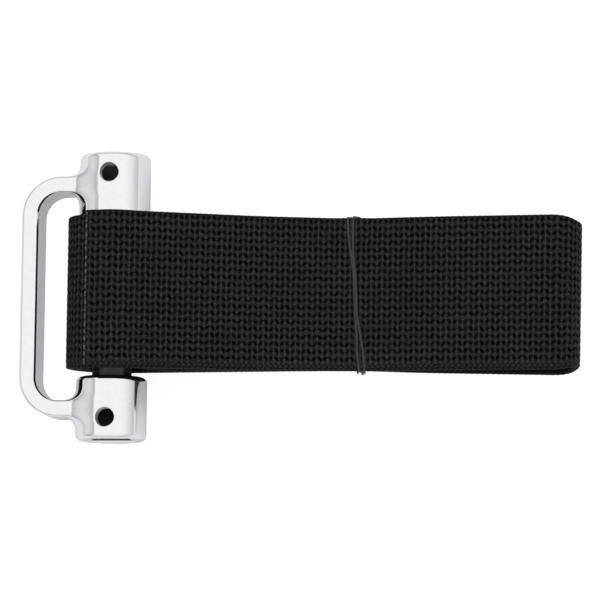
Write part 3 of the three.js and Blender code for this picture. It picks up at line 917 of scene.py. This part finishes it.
def black_steel_material():
    """Black oxide on a turned bar: faint rings, a satin shine, painted light along its top and painted
    shade down its sides.
    """
    nodes = Nodes("black_steel")
    place = position_of(nodes)
    normal = nodes.add("ShaderNodeTexCoord").outputs["Normal"]
    facing = nodes.add("ShaderNodeVectorMath", {0: normal, 1: (0.19, 0.0, 0.98)}, operation="DOT_PRODUCT")
    # painted light and shade: full colour where the bar faces up, down to 0.15 on its sides; the shine
    # follows it too
    painted_top_light = nodes.ramp(facing.outputs["Value"], [(0.74, grey(0.15)), (0.88, WHITE)])
    rings = nodes.noise(nodes.stretch(place, (60.0, 5200.0, 60.0)), 1.0, 2.0)
    blotch = nodes.noise(place, 260.0, 4.0)
    oxide = nodes.ramp(blotch, [(0.3, grey(0.085)), (0.7, (0.150, 0.149, 0.148))])
    lit_oxide = nodes.add("ShaderNodeMix", data_type="RGBA", blend_type="MULTIPLY")
    link_rgba(nodes, lit_oxide, 1.0, oxide, painted_top_light)
    nodes.feed(nodes.shader, "Base Color", lit_oxide.outputs[2])
    nodes.feed(nodes.shader, "Metallic", 0.1)
    nodes.feed(nodes.shader, "Specular IOR Level", nodes.math("MULTIPLY", painted_top_light, 0.5))
    nodes.feed(nodes.shader, "Roughness", nodes.blend(blotch, 0.2, 0.34))
    nodes.bump(rings, 0.25, 0.00003)
    return nodes.material


def cord_material(name, dark, light, roughness):
    """A twisted cord: fine slanting ridges, painted shade in the grooves between them, and small changes of
    tone.
    """
    nodes = Nodes(name)
    place = position_of(nodes)
    inputs = {"Vector": nodes.stretch(place, (1.0, 1.0, 0.6)), "Scale": 900.0, "Distortion": 1.5}
    twist = nodes.add("ShaderNodeTexWave", inputs, bands_direction="DIAGONAL").outputs["Fac"]
    grain = nodes.noise(place, 600.0)
    mixed = nodes.math("MULTIPLY", twist, grain)
    # painted shade: the colour darkens where the twist's bump runs low, with random grain over it
    nodes.feed(nodes.shader, "Base Color", nodes.ramp(mixed, [(0.1, dark), (0.6, light)]))
    nodes.feed(nodes.shader, "Roughness", roughness)
    nodes.bump(twist, 0.35, 0.00008)
    return nodes.material


# ---------- stage, lights and camera ----------

def give_way(floor):
    """The floor drops as the loop swings down, so that the loop's bar never goes through it."""
    drop = floor.constraints.new("TRANSFORM")
    drop.target = frame["bodies"][FRAME_BODY]
    drop.map_from = "ROTATION"
    drop.from_min_y_rot = math.radians(-50.0)
    drop.from_max_y_rot = math.radians(-5.0)
    drop.map_to = "LOCATION"
    drop.map_to_z_from = "Y"
    drop.to_min_z = -0.001 * (math.hypot(LOOP_REACH, LOOP_HALF_DEPTH) - PIN_AXIS_MM[2] + 0.5)
    drop.to_max_z = 0.0


def build_stage():
    """A pale floor, a little greyer in reflections than to the eye, as a lit table is."""
    floor_mesh = bpy.data.meshes.new("floor")
    reach = 3.0
    corners = [(-reach, -reach, 0), (reach, -reach, 0), (reach, reach, 0), (-reach, reach, 0)]
    floor_mesh.from_pydata(corners, [], [(0, 1, 2, 3)])
    floor = bpy.data.objects.new("floor", floor_mesh)
    # just clear of the tie, which is the lowest thing on the roll
    floor.location.z = cad_box[0].z - 0.0004
    bpy.context.scene.collection.objects.link(floor)
    give_way(floor)
    nodes = Nodes("floor")
    seen = nodes.add("ShaderNodeLightPath").outputs["Is Camera Ray"]
    paper = nodes.noise(position_of(nodes), 40.0)
    seen_paper = nodes.math("MULTIPLY", seen, nodes.blend(paper, 0.02, 0.99))
    shade = nodes.ramp(seen_paper, [(0.0, (0.58, 0.585, 0.60)), (1.0, grey(0.20))])
    nodes.feed(nodes.shader, "Base Color", shade)
    nodes.feed(nodes.shader, "Roughness", 0.9)
    nodes.feed(nodes.shader, "Specular IOR Level", 0.0)
    nodes.feed(nodes.shader, "Emission Color", (*WHITE, 1.0))
    nodes.feed(nodes.shader, "Emission Strength", nodes.blend(seen, 0.77, 0.13))
    floor_mesh.materials.append(nodes.material)


def build_world():
    """A white studio: one greyer wall on the loop's side, and a dark line low down beyond each boss.

    The camera itself sees a plain white backdrop.
    """
    world = bpy.data.worlds.new("studio")
    bpy.context.scene.world = world
    world.use_nodes = True
    nodes = Nodes.over(world.node_tree, world.node_tree.nodes["Background"])
    place = nodes.add("ShaderNodeTexCoord").outputs["Generated"]
    split = nodes.add("ShaderNodeSeparateXYZ", {0: place})
    height = nodes.blend(split.outputs["Z"], 0.5, 0.5)
    rising = nodes.ramp(height, [
        (0.0, (0.72, 0.72, 0.73)),
        (0.497, (0.68, 0.68, 0.69)),
        (0.503, (0.55, 0.55, 0.56)),
        (0.60, (0.66, 0.66, 0.665)),
        (0.72, (0.84, 0.84, 0.845)),
        (0.86, grey(0.95)),
        (1.0, grey(0.93)),
    ])
    wall = nodes.ramp(nodes.blend(split.outputs["X"], -1.0, 0.0), [
        (0.0, WHITE),
        (0.68, WHITE),
        (0.70, (0.62, 0.62, 0.63)),
        (0.75, (0.56, 0.56, 0.57)),
        (0.90, (0.86, 0.86, 0.87)),
        (1.0, grey(1.12)),
    ])
    low_strip = nodes.ramp(height, [
        (0.0, WHITE),
        (0.50, WHITE),
        (0.505, grey(0.15)),
        (0.54, grey(0.15)),
        (0.55, WHITE),
        (1.0, WHITE),
    ])
    facing = nodes.math("GREATER_THAN", nodes.math("ABSOLUTE", split.outputs["Y"]), 0.75)
    strip = nodes.add("ShaderNodeMix", data_type="RGBA")
    link_rgba(nodes, strip, facing, (*WHITE, 1.0), low_strip)
    sides = nodes.add("ShaderNodeMix", data_type="RGBA", blend_type="MULTIPLY")
    link_rgba(nodes, sides, 1.0, rising, wall)
    both = nodes.add("ShaderNodeMix", data_type="RGBA", blend_type="MULTIPLY")
    link_rgba(nodes, both, 1.0, sides.outputs[2], strip.outputs[2])
    seen = nodes.add("ShaderNodeLightPath").outputs["Is Camera Ray"]
    backdrop = nodes.add("ShaderNodeMix", data_type="RGBA")
    link_rgba(nodes, backdrop, seen, both.outputs[2], (*WHITE, 1.0))
    nodes.feed(nodes.shader, "Color", backdrop.outputs[2])
    nodes.feed(nodes.shader, "Strength", 1.04)


def add_light(name, location, size, power):
    """A soft box aimed at the middle of the object, seen in neither the picture nor the reflections."""
    data = bpy.data.lights.new(name, "AREA")
    data.shape = "RECTANGLE"
    data.size, data.size_y = size
    data.energy = power
    light = bpy.data.objects.new(name, data)
    light.location = location
    light.rotation_euler = (-Vector(location)).to_track_quat("-Z", "Y").to_euler()
    light.visible_camera = False
    light.visible_glossy = False
    bpy.context.scene.collection.objects.link(light)


def build_lights():
    add_light("overhead", (-0.25, 0.35, 0.9), (0.5, 0.4), 3.0)
    add_light("side", (0.9, -0.5, 0.5), (0.4, 0.4), 1.0)


def build_camera():
    """Nearly overhead, from the strap's free side and a little from the near boss's side."""
    data = bpy.data.cameras.new("camera")
    camera = bpy.data.objects.new("camera", data)
    bpy.context.scene.collection.objects.link(camera)
    data.sensor_width = 36.0
    data.lens = CAMERA_LENS
    data.clip_start, data.clip_end = 0.05, 20.0
    camera.location = Vector(PIN_AXIS_MM) * 0.001 + Vector(CAMERA_PLACE)
    camera.rotation_euler = CAMERA_TURN
    bpy.context.scene.camera = camera


def build():
    build_webbing(webbing_material())
    build_frame(chrome_material())
    build_pin(black_steel_material())
    build_stitches(cord_material("thread", grey(0.006), grey(0.02), 0.6))
    build_tie(cord_material("tie", grey(0.009), grey(0.055), 0.45))
    build_stage()
    build_world()
    build_lights()
    build_camera()
    view = bpy.context.scene.view_settings
    view.view_transform = "Standard"
    view.look = "None"


build()
